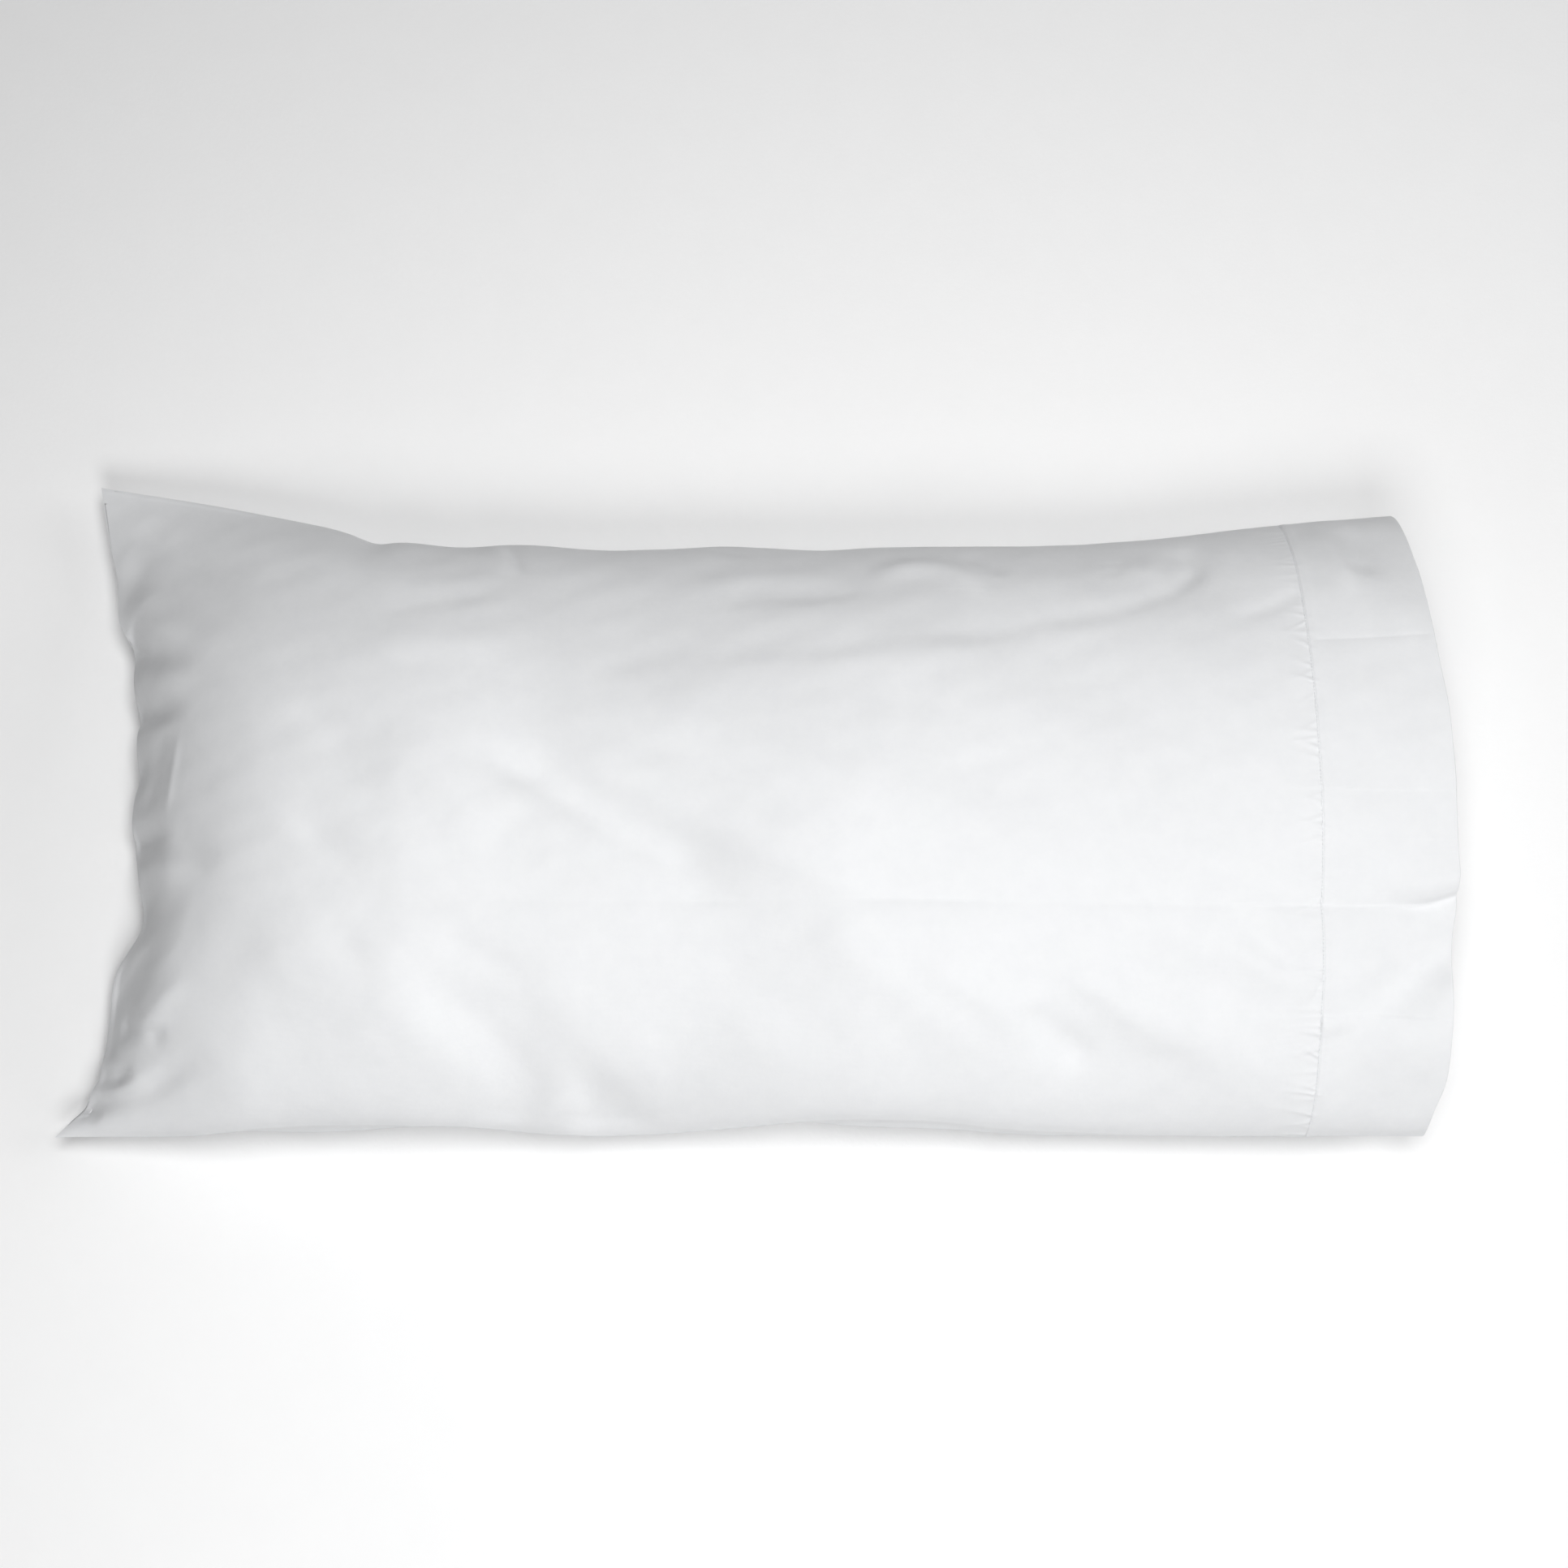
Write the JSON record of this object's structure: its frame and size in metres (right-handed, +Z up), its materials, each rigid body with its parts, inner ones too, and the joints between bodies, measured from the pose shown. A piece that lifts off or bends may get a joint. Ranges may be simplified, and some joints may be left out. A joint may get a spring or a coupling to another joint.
{
  "type": "bed pillow",
  "caption": "Long bed pillow: a fibre-filled insert with a corded edge inside an open-ended cotton pillowcase with a deep folded cuff round its mouth.",
  "frame": {"origin": "on the surface the pillow lies on, below the middle of the whole object's box", "axes": "+X along the length from the case's closed end to its open mouth, +Y across the pillow, +Z up through its thickness"},
  "size_m": [0.992, 0.5, 0.16],
  "materials": {
    "percale": "white cotton percale, plain weave, matt",
    "thread": "white polyester sewing thread",
    "ticking": "white cotton ticking, matt",
    "fibre": "white polyester fibre, loose",
    "label": "white satin tape, blank"
  },
  "bodies": {
    "pillowcase": {"upper_panel": "percale", "lower_panel": "percale", "mouth_cuff": "percale", "far_side_seam": "percale", "near_side_seam": "percale", "end_seam": "percale", "cuff_seam_thread": "thread", "case_care_label": "label"},
    "insert": {"upper_ticking": "ticking", "lower_ticking": "ticking", "edge_cord": "ticking", "fibre_fill": "fibre", "closing_thread": "thread", "insert_care_label": "label"}
  },
  "joints": [
    {"name": "insert_slide", "type": "slide", "parent": "pillowcase", "child": "insert", "axis": [1, 0, 0], "range_m": [0, 0.95]}
  ]
}
